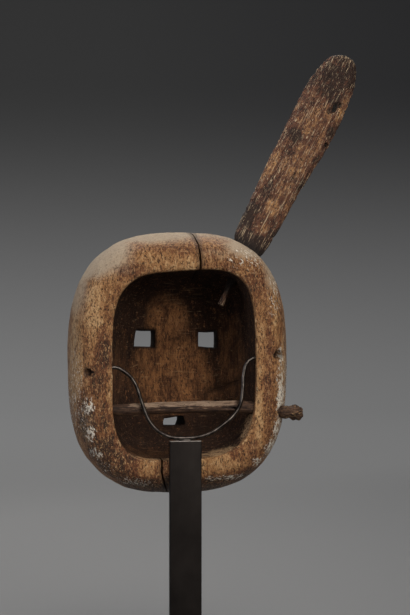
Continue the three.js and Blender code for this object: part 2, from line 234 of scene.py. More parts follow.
class StageSettings(PropertyGroup):
    floor_radius: length("Floor radius", "Radius of the flat floor", 4400)
    bend_radius: length("Bend radius", "Radius of the bend up to the backdrop", 2200)
    wall_height: length("Wall height", "Height of the backdrop above the bend", 5000)
    pale: colour("Pale", "Floor paper", "939393")
    # Painted shade on the floor near the stand.
    shaded: colour("Shaded", "Floor paper near the stand", "7a7b7c")
    dark: colour("Dark", "Top of the graded backdrop", "353535")
    darkest: colour("Darkest", "Top of the backdrop at its right", "28282a")
    lens: FloatProperty(name="Lens", description="Focal length in millimetres", default=99.5)


def add(tree, kind, inputs=None, output=0, **settings):
    """Adds a shader node. An input given as a socket is linked, any other is a value."""
    made = tree.nodes.new("ShaderNode" + kind)
    for name, value in settings.items():
        setattr(made, name, value)
    for key, value in (inputs or {}).items():
        if isinstance(value, bpy.types.NodeSocket):
            tree.links.new(value, made.inputs[key])
        else:
            made.inputs[key].default_value = value
    return made if output is None else made.outputs[output]


def new_material(name, marks=()):
    """A material with an empty node tree, its object coordinates and the marks on its mesh."""
    material = bpy.data.materials.new(name)
    material.use_nodes = True
    tree = material.node_tree
    tree.nodes.clear()
    found = [add(tree, "Attribute", output="Fac", attribute_name=mark) for mark in marks]
    return material, tree, add(tree, "TexCoord", output="Object"), found


def close_material(tree, surface, bump=None, depth=MM):
    """Ends a material in one principled shader, with its bump."""
    if bump is not None:
        surface["Normal"] = add(tree, "Bump", {"Height": bump, "Distance": depth, "Strength": 1.0})
    shader = add(tree, "BsdfPrincipled", surface)
    add(tree, "OutputMaterial", {"Surface": shader}, output=None)


def grain(tree, place, size, detail=4.0, roughness=0.6, twist=0.0, turn=(0, 0, 0), origin=(0, 0, 0)):
    """Noise of a real size in millimetres along each axis, in axes of its own."""
    axes = {"Vector": place, "Location": origin, "Rotation": turn, "Scale": [side * MM for side in size]}
    mapped = add(tree, "Mapping", axes, vector_type="TEXTURE")
    look = {"Scale": 1.0, "Detail": detail, "Roughness": roughness, "Distortion": twist}
    return add(tree, "TexNoise", {"Vector": mapped, **look})


def blend_of(tree, *parts):
    """Several noises added, each with its share."""
    total = 0.0
    for noise_value, share in parts:
        total = add(tree, "Math", {0: noise_value, 1: share, 2: total}, operation="MULTIPLY_ADD")
    return total


def patchy(tree, share, breakup, soft):
    """Cover broken up by noise: about a share of the surface, with soft edges."""
    even = add(tree, "MapRange", {"Value": breakup, "From Min": 0.36, "From Max": 0.64})
    total = add(tree, "Math", {0: even, 1: share})
    limits = {"Value": total, "From Min": 1.0, "From Max": 1.0 + soft}
    return add(tree, "MapRange", limits, interpolation_type="SMOOTHSTEP")


def coated(tree, first, *coats):
    """Colours laid one over another, each by its share."""
    paint = first
    for tint, share in coats:
        paint = add(tree, "Mix", {0: share, 6: paint, 7: tint}, output=2, data_type="RGBA")
    return paint


def graded(tree, value, first, *steps):
    """Colours laid one over another as a value rises or falls, each with where it begins, where it
    is full and, unless that is 1, its share there."""
    paint = first
    for tint, low, high, *most in steps:
        limits = {"Value": value, "From Min": low, "From Max": high, "To Max": (most or [1.0])[0]}
        paint = coated(tree, paint, (tint, add(tree, "MapRange", limits)))
    return paint


# Old carved hardwood, hand rubbed for years: a mottled red-brown crust over ochre wood, golden
# where hands and face have worn it, grey dust on the shoulders and the last of a white clay
# paint. Its fibres and pores are finer than the render can show, so they are drawn 1 to 3 mm wide.
# Light and shade are painted in too: lit patches and a pale lit band inside the hollow, a
# highlight along the left inner edge, and shade in grooves, cracks, holes and under the bar.
def carved_hardwood(settings):
    marks = ("hollow", "rubbed", "stain", "bare", "dust", "silt_and_light", "wear", "kaolin", "painted_shade")
    material, tree, place, marks = new_material("carved_hardwood", marks)
    hollow, rubbed, stained, bare, dust, silt_and_light, wear, clay, painted_shade = marks
    fibre = grain(tree, place, (1.4, 1.4, 9), detail=3)
    streak = grain(tree, place, (4.5, 4.5, 26), detail=4)
    mottle = grain(tree, place, (13, 13, 19), detail=6, roughness=0.68, twist=0.5)
    cloud = grain(tree, place, (34, 34, 50), detail=4, roughness=0.6, origin=(0.2, 0.4, 0.1))
    stipple = grain(tree, place, (2.9, 2.9, 6.0), detail=5, roughness=0.8, twist=0.5)
    fleck = grain(tree, place, (1.7, 1.7, 3.4), detail=2, twist=0.8)
    strokes = grain(tree, place, (2.2, 2.2, 7.5), detail=3, roughness=0.7, origin=(0.3, 0.1, 0.2))
    slanting = grain(tree, place, (2.1, 2.1, 7.0), detail=3, roughness=0.7, turn=(0, -0.8, 0))
    loose = {"roughness": 0.8, "twist": 0.7, "origin": (0.1, 0.2, 0.3)}
    wisp = grain(tree, place, (1.8, 1.8, 3.4), detail=3, **loose)
    drift = grain(tree, place, (26, 3, 1.6), detail=3)

    pattern = blend_of(tree, (streak, 0.15), (stipple, 0.35), (fibre, 0.15), (fleck, 0.15), (mottle, 0.2))
    tone = blend_of(tree, (pattern, 1.0), (rubbed, 0.08), (stained, -0.11))
    brown = graded(tree, cloud, settings.brown, (settings.red, 0.48, 0.6, 0.8))
    rim = graded(
        tree,
        tone,
        settings.stain,
        (brown, 0.38, 0.435),
        (settings.ochre, 0.465, 0.52),
        (settings.honey, 0.535, 0.6),
    )
    lit = add(tree, "Math", {0: stained, 1: 0.5, 2: 0.45}, operation="MULTIPLY_ADD")
    rim = graded(tree, wisp, rim, (settings.honey, 0.55, 0.63, lit), (settings.stain, 0.44, 0.36, 0.85))

    depth = blend_of(tree, (streak, 0.22), (fibre, 0.2), (stipple, 0.28), (mottle, 0.3))
    dim = graded(tree, depth, settings.soot_and_shade, (settings.umber, 0.46, 0.6, 0.55))
    lit_and_rubbed_wood = graded(tree, depth, settings.umber, (settings.russet, 0.43, 0.55))
    # Painted light: lit patches of russet in the hollow over its darker wood, partly rubbed wood.
    bared = blend_of(tree, (bare, 0.5), (depth, 0.5), (cloud, 0.5))
    inside = graded(tree, bared, dim, (lit_and_rubbed_wood, 0.58, 1.0))

    powder = blend_of(tree, (mottle, 0.9), (stipple, 0.9), (dust, 1.0))
    dusty = add(tree, "MapRange", {"Value": powder, "From Min": 1.05, "From Max": 1.85, "To Max": 0.92})
    paint = coated(tree, rim, (inside, patchy(tree, hollow, stipple, 0.3)), (settings.dust, dusty))
    # A pale band on the hollow's floor: pale dust and painted light that falls in over the rim.
    drifted = graded(tree, drift, settings.umber, (settings.silt_and_light, 0.38, 0.53))
    silt_and_light_share = blend_of(tree, (silt_and_light, 0.55), (drift, 1.0))
    paint = graded(tree, silt_and_light_share, paint, (drifted, 0.6, 0.95))

    chalky = add(tree, "Math", {0: patchy(tree, clay, stipple, 1.0), 1: 0.2}, operation="MULTIPLY")
    white, crossing = (patchy(tree, clay, brush, 0.13) for brush in (strokes, slanting))
    white = add(tree, "Math", {0: white, 1: crossing}, operation="MAXIMUM")
    paint = coated(
        tree,
        paint,
        (settings.bone, patchy(tree, wear, stipple, 1.0)),
        (settings.dust, chalky),
        (settings.kaolin, white),
    )
    unveiled = add(tree, "Math", {0: dusty, 1: -0.6, 2: 0.85}, operation="MULTIPLY_ADD")
    paint = graded(tree, fleck, paint, (settings.stain, 0.445, 0.37, unveiled))
    # Painted shade: soot laid over grooves, cracks, holes and the wall under the bar.
    shade_share = add(tree, "Math", {0: painted_shade, 1: 0.9}, operation="MULTIPLY")
    paint = coated(tree, paint, (settings.soot_and_shade, shade_share))

    dull = add(tree, "Math", {0: dusty, 1: white}, operation="MAXIMUM")
    dull = add(tree, "Math", {0: dull, 1: hollow}, operation="MAXIMUM")
    rough = add(tree, "MapRange", {"Value": dull, "To Min": 0.55, "To Max": 0.9})
    relief = blend_of(tree, (fibre, 0.5), (stipple, 1.0), (fleck, 0.7), (white, 0.2))
    relief = add(tree, "Math", {0: relief, 1: 1.1}, operation="SUBTRACT")
    calm = add(tree, "Math", {0: dusty, 1: -0.6, 2: 1.0}, operation="MULTIPLY_ADD")
    relief = add(tree, "Math", {0: relief, 1: calm}, operation="MULTIPLY")
    surface = {"Base Color": paint, "Roughness": rough, "Specular IOR Level": 0.3}
    close_material(tree, surface, relief, 2.3 * MM)
    return material


# A weathered hardwood blade: a dark red-brown crust, split along its grain, with raised pale
# fibres and ochre wood where the crust has gone. Its grain follows the blade. Its pits, grooves
# and the tenon inside the shell's wall are painted near black: painted shade.
def weathered_hardwood(settings):
    marks = ("rubbed", "stain", "wear", "painted_shade")
    material, tree, place, (rubbed, stained, wear, painted_shade) = new_material("weathered_hardwood", marks)
    axes = {"turn": horn_axes().to_euler(), "origin": HORN_BASE}
    fibre = grain(tree, place, (1.5, 12, 1.5), detail=3, **axes)
    hair = grain(tree, place, (1.1, 22, 1.1), detail=1, **axes)
    streak = grain(tree, place, (4.5, 46, 4.5), detail=5, **axes)
    mottle = grain(tree, place, (10, 15, 10), detail=6, roughness=0.7, twist=0.7, **axes)
    stipple = grain(tree, place, (2.8, 5.0, 2.8), detail=5, roughness=0.8, twist=0.5, **axes)
    fleck = grain(tree, place, (1.7, 2.6, 1.7), detail=2, twist=0.3, **axes)
    nick = grain(tree, place, (1.4, 5.5, 1.4), detail=2, **axes)
    pattern = blend_of(tree, (fibre, 0.2), (stipple, 0.35), (streak, 0.15), (mottle, 0.3))
    tone = blend_of(tree, (pattern, 1.0), (rubbed, 0.095), (stained, -0.1))
    paint = graded(
        tree,
        tone,
        settings.dark,
        (settings.brown, 0.445, 0.5),
        (settings.tan, 0.53, 0.58),
        (settings.ochre, 0.585, 0.635),
    )
    paint = coated(tree, paint, (settings.pale, patchy(tree, wear, fibre, 0.5)))
    paint = graded(tree, hair, paint, (settings.pale, 0.6, 0.74, 0.7))
    scuffed = add(tree, "Math", {0: stained, 1: -0.45, 2: 0.85}, operation="MULTIPLY_ADD")
    paint = graded(tree, nick, paint, (settings.pale, 0.6, 0.72, scuffed))
    paint = graded(tree, fleck, paint, (settings.dark, 0.43, 0.36, 0.9))
    # Painted shade: the pits, the grooves and the tenon inside the wall are darkened.
    paint = coated(tree, paint, (settings.pit_shade, painted_shade))
    relief = blend_of(tree, (fibre, 0.7), (hair, 0.5), (fleck, 0.8), (stipple, 0.9))
    surface = {"Base Color": paint, "Roughness": 0.66, "Specular IOR Level": 0.35}
    close_material(tree, surface, relief, 1.3 * MM)
    return material


# A whittled stick, grey on top and dark brown underneath and at both ends: partly dry wood greyed on
# top and darkened by handling, partly painted light on its top and painted shade under it and at its
# ends, which lie in the rim's shadow. Its grooves and its split are painted dark: painted shade.
def whittled_stick(settings):
    marks = ("dry_and_lit", "knob", "painted_shade")
    material, tree, place, (dry_and_lit, knob, painted_shade) = new_material("whittled_stick", marks)
    fibre = grain(tree, place, (20, 1.3, 1.3), detail=4)
    mottle = grain(tree, place, (12, 5, 5), detail=5, roughness=0.7, twist=0.4)
    fleck = grain(tree, place, (3.4, 1.8, 1.8), detail=3)
    tone = blend_of(tree, (fibre, 0.5), (mottle, 0.5))
    grey = graded(tree, tone, settings.grey_brown, (settings.grey, 0.42, 0.56))
    handled_and_shaded = graded(tree, tone, settings.dark, (settings.brown, 0.44, 0.58))
    paint = coated(tree, handled_and_shaded, (grey, patchy(tree, dry_and_lit, tone, 0.5)))
    paint = graded(tree, fleck, paint, (settings.dark, 0.4, 0.32, 0.8))
    paint = coated(tree, paint, (settings.ochre, patchy(tree, knob, fleck, 0.5)), (settings.dark, painted_shade))
    surface = {"Base Color": paint, "Roughness": 0.7, "Specular IOR Level": 0.3}
    close_material(tree, surface, blend_of(tree, (fibre, 1.0), (fleck, 0.7)), 0.8 * MM)
    return material


# Mild steel blackened with heat and oil: nearly black, with a faint cloudy bloom, and a painted
# highlight along the post's top.
def blackened_steel(settings):
    material, tree, place, _ = new_material("blackened_steel")
    cloud = grain(tree, place, (22, 22, 30), detail=4)
    brushed = grain(tree, place, (0.8, 0.8, 26), detail=3)
    height = add(tree, "SeparateXYZ", {0: place}, output="Z")
    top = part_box("stand_post")[1].z
    paint = graded(tree, cloud, settings.black, (settings.burnished, 0.3, 0.7, 0.12))
    # Painted highlight: the post's top edge is lighter.
    paint = graded(tree, height, paint, (settings.bright, top - 0.9 * MM, top - 0.3 * MM))
    limits = {"Value": brushed, "From Min": 0.3, "From Max": 0.7, "To Min": 0.42, "To Max": 0.6}
    surface = {"Base Color": paint, "Roughness": add(tree, "MapRange", limits), "Metallic": 0.9}
    close_material(tree, surface, brushed, 0.05 * MM)
    return material


# The same steel where it is bent and handled: mottled between black and rubbed steel, with a low shine.
def burnished_steel(settings):
    material, tree, place, _ = new_material("burnished_steel")
    cloud = grain(tree, place, (9, 9, 9), detail=4)
    paint = graded(tree, cloud, settings.black, (settings.burnished, 0.4, 0.65))
    close_material(tree, {"Base Color": paint, "Roughness": 0.3, "Metallic": 0.95})
    return material


# Seamless studio paper, pale on the floor and graded to a dark grey up the backdrop. The floor is
# painted darker near the stand and towards the front and the right: painted shade.
def graded_paper(settings):
    material, tree, place, _ = new_material("graded_paper")
    side, back, height = (add(tree, "SeparateXYZ", {0: place}, output=axis) for axis in "XYZ")
    far = add(tree, "Math", {0: back, 1: side}, operation="SUBTRACT")
    # Painted shade: the floor darkens towards the stand, the front and the right.
    low = graded(tree, far, settings.pale, (settings.shaded, 1.5, 0.0))
    high = graded(tree, side, settings.dark, (settings.darkest, 0.5, 2.2))
    limits = {"Value": height, "From Min": -0.35, "From Max": 1.5}
    up = add(tree, "MapRange", limits, interpolation_type="SMOOTHSTEP")
    close_material(tree, {"Base Color": coated(tree, low, (high, up)), "Roughness": 0.9})
    return material


def horn_axes():
    """The horn's own axes: X across the blade, Y along it and Z through it."""
    along = Vector(
        (
            math.sin(HORN_LEAN_OUT) * math.cos(HORN_LEAN_FORWARD),
            math.sin(HORN_LEAN_FORWARD),
            math.cos(HORN_LEAN_OUT) * math.cos(HORN_LEAN_FORWARD),
        )
    )
    across = Vector((math.cos(HORN_LEAN_OUT), 0.0, -math.sin(HORN_LEAN_OUT)))
    return Matrix((across, along, across.cross(along))).transposed()


def only(piece):
    """Makes one object the selected and active one."""
    bpy.ops.object.select_all(action="DESELECT")
    piece.select_set(True)
    bpy.context.view_layer.objects.active = piece


def modify(piece, kind, **settings):
    """Adds a modifier and applies it."""
    only(piece)
    made = piece.modifiers.new(kind.title(), kind)
    for name, value in settings.items():
        setattr(made, name, value)
    bpy.ops.object.modifier_apply(modifier=made.name)


def copy_of_node(node, name):
    """A new piece with a copy of a frame solid, its loose triangles merged."""
    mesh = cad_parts[node].data.copy()
    mesh.materials.clear()
    piece = bpy.data.objects.new(name, mesh)
    bpy.context.scene.collection.objects.link(piece)
    only(piece)
    bpy.ops.object.mode_set(mode="EDIT")
    bpy.ops.mesh.select_all(action="SELECT")
    bpy.ops.mesh.remove_doubles(threshold=0.001 * MM)
    bpy.ops.object.mode_set(mode="OBJECT")
    return piece


def points_of(piece):
    """The piece's points as rows of X, Y and Z."""
    places = np.empty(len(piece.data.vertices) * 3)
    piece.data.vertices.foreach_get("co", places)
    return places.reshape(-1, 3)


def normals_of(piece):
    """The piece's normals, point by point."""
    normals = np.empty(len(piece.data.vertices) * 3)
    piece.data.vertices.foreach_get("normal", normals)
    return normals.reshape(-1, 3)


def move_points(piece, places):
    """Puts the piece's points at new places."""
    piece.data.vertices.foreach_set("co", places.ravel())
    piece.data.update()


def lay(piece, name, values):
    """Stores one number a point on the mesh, for its material."""
    layer = piece.data.attributes.new(name, "FLOAT", "POINT")
    layer.data.foreach_set("value", np.ascontiguousarray(np.clip(values, 0, 1), dtype=np.float32))


def neighbour_mean(piece, values, rounds=1):
    """Each point's value averaged with its neighbours', a number of times."""
    ends = np.empty(len(piece.data.edges) * 2, dtype=np.int32)
    piece.data.edges.foreach_get("vertices", ends)
    a, b = ends[0::2], ends[1::2]
    count = len(values)
    degree = np.maximum(np.bincount(a, minlength=count) + np.bincount(b, minlength=count), 1)
    for _ in range(rounds):
        total = np.bincount(a, values[b], count) + np.bincount(b, values[a], count)
        values = (values + total / degree) / 2
    return values


def bulge(piece, rounds):
    """How convex the surface is at each point: positive on an edge, negative in a groove."""
    places, normals = points_of(piece), normals_of(piece)
    mean = np.stack([neighbour_mean(piece, places[:, k], rounds) for k in range(3)], axis=1)
    return ((places - mean) * normals).sum(axis=1) / MM


def smooth(values, low, high):
    """A smooth step from 0 at low to 1 at high."""
    share = np.clip((values - low) / (high - low), 0, 1)
    return share * share * (3 - 2 * share)


def rumple(places, size, octaves=3, shift=0.0):
    """Fractal noise at each place, with features of a size in millimetres along each axis."""
    scaled = places / (np.array(size) * MM) + shift
    return np.array([noise.fractal(place, NOISE_FADE, NOISE_STEP, octaves) for place in scaled])


def scallops(places, size):
    """Shallow scoops side by side, as a gouge leaves: 0 at a scoop's middle and about 1 between."""
    scaled = places / (np.array(size) * MM)
    return np.array([noise.voronoi(place)[0][0] for place in scaled])


def near(places, middle, reach):
    """1 around a middle, falling off to 0 at a reach along each axis."""
    away = (((places - middle) / reach) ** 2).sum(axis=1)
    return smooth(np.sqrt(away), 1.2, 0.4)


def strongest(places, patches):
    """The strongest patch at each place. A patch is a middle, a reach and a strength."""
    return np.max([strength * near(places, middle, reach) for middle, reach, strength in patches], axis=0)


def shell_local(piece):
    """The piece's points in millimetres: X, depth and height from the middle of the rim plane."""
    return (points_of(piece) - np.array(RIM)) / MM


def opening_share(local):
    """How far out each point lies in the hollow's outline at its depth: 1 on the hollow's wall."""
    depth = np.clip(local[:, 1] / HOLLOW_DEPTH, 0, 0.985)
    scale = (1 - depth**HOLLOW_ROUNDNESS) ** (1 / HOLLOW_ROUNDNESS)
    across = local[:, 0] - OPENING_MIDDLE[0]
    up = local[:, 2] - OPENING_MIDDLE[1] - OPENING_RISE * across
    outline = (np.abs(across) / OPENING_HALF[0]) ** OPENING_SQUARENESS
    outline += (np.abs(up) / OPENING_HALF[1]) ** OPENING_SQUARENESS
    return outline ** (1 / OPENING_SQUARENESS) / scale


def in_hollow(local, outer, inner):
    """1 inside the hollow, falling off between two shares of its outline and behind the face."""
    behind_face = smooth(local[:, 1], HOLLOW_DEPTH + 10, HOLLOW_DEPTH + 4)
    return smooth(opening_share(local), outer, inner) * behind_face


def from_hole(local, corners):
    """How far each point lies from a face hole's outline, in millimetres: negative within it."""
    half = np.ptp(corners, axis=0) / 2
    return (np.abs(local[:, (0, 2)] - np.mean(corners, axis=0)) - half).max(axis=1)


def plain_share(local):
    """1 where the shell is plain and may be smoothed, 0 at its holes, sockets and sharp edges."""
    depth, z = local[:, 1], local[:, 2]
    plain = np.ones(len(local))
    for inner, _ in FACE_HOLES:
        at_hole = smooth(from_hole(local, inner), 3, 10)
        plain = np.minimum(plain, np.where(depth > 70, at_hole, 1))
    for middle in CORD_HOLES:
        away = np.linalg.norm((local - middle) * (0.3, 1, 1), axis=1)
        plain = np.minimum(plain, smooth(away, 5, 12))
    from_bar = np.hypot(depth - BAR_AXIS[0], z - BAR_AXIS[1])
    plain = np.minimum(plain, smooth(from_bar, 9, 15))
    from_base = local - (np.array(HORN_BASE) - np.array(RIM)) / MM
    in_horn = from_base @ np.array(horn_axes())
    from_tenon = np.hypot(in_horn[:, 0] / 2.2, in_horn[:, 2])
    plain = np.minimum(plain, smooth(from_tenon, 9, 16))
    face = np.linalg.norm((local[:, (0, 2)] - FACE_OVAL[0]) / np.array(FACE_OVAL[1]), axis=1)
    on_face = (depth > FACE_DEPTH) & (face < 1)
    plain = np.where(on_face, np.minimum(plain, 0.12), plain)
    on_edge = (depth < 7) & (np.abs(opening_share(local) - 1.01) < 0.07)
    return np.where(on_edge, np.minimum(plain, 0.25), plain)


def weight(piece, name, values, steps=10):
    """A vertex group whose weights are these values, in a number of steps."""
    group = piece.vertex_groups.new(name=name)
    rounded = np.round(values * steps).astype(int)
    for step in range(1, steps + 1):
        group.add(np.flatnonzero(rounded == step).tolist(), step / steps, "REPLACE")


def solid_from_rings(rings, name):
    """A closed block through rings of four corners, in millimetres from the rim's middle."""
    last = len(rings) - 1
    bpy.ops.object.select_all(action="DESELECT")
    bpy.ops.mesh.primitive_grid_add(x_subdivisions=last, y_subdivisions=1, size=2)
    block = bpy.context.object
    block.name = name
    modify(block, "SOLIDIFY", thickness=1, offset=0)
    places = points_of(block)
    ring = np.rint((places[:, 0] + 1) / 2 * last).astype(int)
    far, under = places[:, 1] > 0, places[:, 2] < 0
    corner = np.where(far, np.where(under, 2, 1), np.where(under, 3, 0))
    move_points(block, np.array(RIM) + np.array(rings)[ring, corner] * MM)
    only(block)
    bpy.ops.object.mode_set(mode="EDIT")
    bpy.ops.mesh.select_all(action="SELECT")
    bpy.ops.mesh.normals_make_consistent(inside=False)
    bpy.ops.object.mode_set(mode="OBJECT")
    return block


def hole_cutter(inner, outer):
    """A block with a hole's four flat sides, a little wider, that runs past both of its mouths."""
    rings = []
    for along in HOLE_CUT:
        ring = [np.add(a, np.subtract(b, a) * along) for a, b in zip(inner, outer)]
        middle = np.mean(ring, axis=0)
        depth = HOLE_DEPTHS[0] + (HOLE_DEPTHS[1] - HOLE_DEPTHS[0]) * along
        wider = [corner + np.sign(corner - middle) * HOLE_SPARE for corner in ring]
        rings.append([(x, depth, z) for x, z in wider])
    return solid_from_rings(rings, "hole_cutter")


def crack_cutter(path, jitter, pieces=4, taper=0.45):
    """A jagged wedge to cut a crack with, in a few pieces between two stops. Each stop on its path
    has an X, a height, the depths that the crack starts and ends at, and half its width, in
    millimetres. Its far edge is narrower, by a taper."""
    stops = []
    for a, b in zip(path, path[1:]):
        stops += [[p + (q - p) * step / pieces for p, q in zip(a, b)] for step in range(pieces)]
    stops.append(path[-1])
    run = Vector((path[-1][0] - path[0][0], 0, path[-1][1] - path[0][1])).normalized()
    side = Vector((run.z, 0, -run.x))
    rings = []
    for i, (x, z, start, end, half) in enumerate(stops):
        shake = side * noise.noise(Vector((i * 0.9, x * 0.13, z * 0.13))) * jitter
        width = half * (1 + 0.5 * noise.noise(Vector((x * 0.31, i * 0.7, 3.1))))
        middle = Vector((x, 0, z)) + shake
        corners = ((1, start), (-1, start), (-taper, end), (taper, end))
        rings.append([middle + side * width * a + Vector((0, depth, 0)) for a, depth in corners])
    return solid_from_rings(rings, "crack_cutter")


def crack_share(local, path):
    """1 at a crack, falling off to 0 a few millimetres to its sides."""
    share = np.zeros(len(local))
    flat = local[:, (0, 2)]
    for a, b in zip(path, path[1:]):
        start, run = np.array(a[:2]), np.subtract(b[:2], a[:2])
        along = np.clip((flat - start) @ run / (run @ run), 0, 1)
        away = np.linalg.norm(flat - start - along[:, None] * run, axis=1)
        deep = smooth(local[:, 1], a[3] + 6, a[3])
        share = np.maximum(share, smooth(away, 5, 2.2) * deep)
    return share


def cut(piece, cutter):
    """Cuts a piece with another, which is then thrown away."""
    modify(piece, "BOOLEAN", operation="DIFFERENCE", object=cutter, solver="MANIFOLD")
    mesh = cutter.data
    bpy.data.objects.remove(cutter)
    bpy.data.meshes.remove(mesh)


def finish_piece(piece, node, material):
    """Ends a piece: one material, smooth shading, its place in the frame, and the frame solid that it
    replaces hidden.
    """
    piece.data.materials.clear()
    piece.data.materials.append(material)
    only(piece)
    bpy.ops.object.shade_smooth_by_angle(angle=ROUND_ANGLE)
    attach(piece, "root")
    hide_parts(node)


# Cracks, each a list of stops: X, height, first and last depth, and half the width.
TOP_CRACK = (
    (16.6, 88, -3, 66, 1.25),
    (16.4, 97, -3, 66, 1.15),
    (15.8, 108, -3, 64, 1.0),
    (14.6, 122, -3, 62, 0.8),
    (11.6, 134, 10, 60, 0.6),
    (9.4, 142, 24, 56, 0.4),
)
BOTTOM_CRACK = (
    (-22.0, -88, -3, 12, 0.9),
    (-22.8, -97, -3, 40, 1.1),
    (-23.0, -106, -3, 58, 1.0),
    (-20.0, -117, -3, 56, 0.9),
    (-15.4, -127, 8, 52, 0.8),
    (-11.0, -138, 20, 48, 0.5),
)
WALL_CRACK = (
    (70, -15.0, 40, 63, 0.3),
    (66, -16.3, 45, 71, 0.6),
    (56, -21.2, 60, 86, 0.7),
    (45, -26.0, 75, 98, 0.6),
    (37, -28.5, 88, 99, 0.2),
)
CEILING_CRACK = (
    (8, 70.4, 80, 94.5, 0.2),
    (20, 70.0, 80, 97, 0.5),
    (32, 69.2, 78, 96, 0.2),
)

SHELL_CRACKS = ((TOP_CRACK, 0.8), (BOTTOM_CRACK, 0.7), (WALL_CRACK, 1.0), (CEILING_CRACK, 0.8))

# Where the shell's finishes lie: a middle and a reach along X, depth and height, and a strength.
SHELL_PATCHES = {
    "stain": (
        ((-82, 0, 12), (9, 14, 30), 0.8),
        ((-87, 2, -16), (13, 20, 22), 0.85),
        ((-80, 0, -50), (9, 16, 22), 1.0),
        ((-76, 0, -80), (13, 20, 16), 1.1),
        ((-98, 10, -56), (16, 20, 36), 1.05),
        ((-90, 10, -84), (18, 20, 22), 0.95),
        ((-68, 4, -98), (27, 24, 20), 1.7),
        ((-34, 6, -127), (60, 34, 18), 2.2),
        ((40, 6, -131), (64, 34, 22), 2.4),
        ((76, 8, -119), (26, 30, 19), 2.0),
        ((86, 3, -30), (6, 16, 90), 0.4),
        ((70, 2, -84), (7, 14, 14), 0.6),
        ((70, 0, 84), (16, 12, 16), 0.6),
        ((84, 0, 50), (7, 12, 30), 0.5),
        ((56, 0, 102), (26, 8, 8), 0.45),
        ((-50, 0, 96), (20, 8, 10), 0.5),
        ((-8, 2, 118), (40, 8, 7), 0.3),
        ((-112, 74, -30), (20, 40, 70), 0.3),
        ((-112, 62, 62), (16, 15, 40), 0.5),
        ((-106, 96, 4), (22, 13, 62), 0.6),
        ((112, 92, 40), (18, 14, 58), 0.55),
        ((60, 122, 66), (36, 20, 26), 0.45),
        ((-72, 122, -64), (30, 20, 38), 0.55),
        ((0, 108, 108), (74, 14, 22), 0.45),
        ((106, 60, -20), (14, 50, 70), 0.5),
        ((0, 80, -128), (90, 60, 26), 0.6),
    ),
    "rubbed": (
        ((-91, 2, 60), (11, 18, 32), 1.0),
        ((-24, 0, 107), (42, 10, 12), 0.2),
        ((8, 0, 104), (12, 10, 14), 0.6),
        ((77, 0, 20), (5, 10, 50), 0.35),
        ((76, 0, -52), (5, 12, 34), 0.7),
        ((36, 0, -97), (34, 10, 8), 0.6),
        ((-44, 0, -98), (18, 10, 7), 0.65),
        # This patch paints the highlight along the left inner edge of the rim: a painted highlight.
        ((-76, 0, -44), (4, 10, 34), 0.8),
        ((91, 4, 62), (7, 14, 30), 0.5),
        ((101, 12, -24), (8, 16, 56), 0.9),
        ((-108, 24, 10), (10, 24, 80), 0.85),
        ((3, 130, 8), (7, 12, 42), 0.8),
        ((3, 124, 52), (62, 14, 9), 0.7),
        ((3, 124, -62), (22, 12, 13), 0.6),
    ),
    "dust": (
        ((-80, 40, 108), (44, 60, 30), 1.5),
        ((-26, 44, 131), (60, 52, 14), 1.2),
        ((-106, 38, 76), (14, 60, 38), 1.0),
        ((64, 30, 117), (36, 44, 15), 1.3),
        ((60, 46, 126), (60, 42, 16), 0.9),
        ((34, 4, 112), (24, 14, 8), 0.5),
        ((106, 34, -10), (12, 52, 84), 0.65),
        ((95, 20, -72), (13, 26, 24), 0.7),
        ((-99, 12, -58), (13, 20, 34), 0.5),
        ((90, 34, 92), (17, 50, 30), 1.0),
        ((104, 30, 50), (9, 30, 50), 0.55),
        ((-110, 50, 10), (10, 70, 76), 0.5),
        ((3, 110, 100), (80, 30, 30), 0.4),
    ),
    # A pale band on the hollow's floor near the opening: pale dust and painted light.
    "silt_and_light": (
        ((44, 10, -94), (42, 44, 14), 1.3),
        ((68, 8, -66), (12, 30, 30), 0.9),
        ((-20, 6, -93), (50, 12, 7), 1.1),
    ),
    "kaolin": (
        ((-96, 6, -40), (7, 12, 11), 0.42),
        ((-108, 24, -44), (8, 22, 24), 0.22),
        ((-110, 56, -44), (10, 40, 46), 0.2),
        ((-106, 18, -10), (7, 14, 26), 0.14),
        ((-94, 6, -67), (8, 12, 9), 0.42),
        ((-92, 8, -88), (12, 14, 8), 0.38),
        ((-80, 12, -102), (14, 14, 8), 0.2),
        ((-52, 8, -116), (24, 14, 7), 0.26),
        ((44, 8, -112), (30, 10, 4), 0.38),
        ((99, 9, -26), (7, 18, 36), 0.46),
        ((99, 8, -34), (7, 12, 20), 0.7),
        ((106, 28, -30), (8, 24, 50), 0.34),
        ((-104, 14, -52), (9, 16, 24), 0.16),
        ((110, 64, -30), (10, 50, 60), 0.26),
        ((99, 8, 10), (5, 10, 12), 0.46),
        ((97, 12, -64), (9, 18, 18), 0.5),
        ((90, 11, -84), (10, 16, 14), 0.5),
        ((77, 6, -97), (10, 12, 6), 0.5),
        ((64, 10, 108), (26, 22, 14), 0.22),
        ((92, 12, 70), (10, 20, 30), 0.2),
        ((-104, 40, -10), (12, 40, 60), 0.12),
        ((100, 44, -30), (12, 36, 70), 0.14),
        ((3, 118, -10), (70, 22, 80), 0.3),
    ),
    # Patches of painted light in the hollow, where light falls in through the opening: partly rubbed
    # wood, partly painted light.
    "bare": (
        ((-2, 96, -16), (52, 60, 58), 1.0),
        ((-8, 92, 46), (28, 44, 32), 1.0),
        ((-34, 40, -90), (50, 40, 14), 0.45),
        ((-58, 72, 0), (18, 44, 62), 0.25),
        ((60, 74, 4), (24, 42, 64), 0.5),
    ),
}


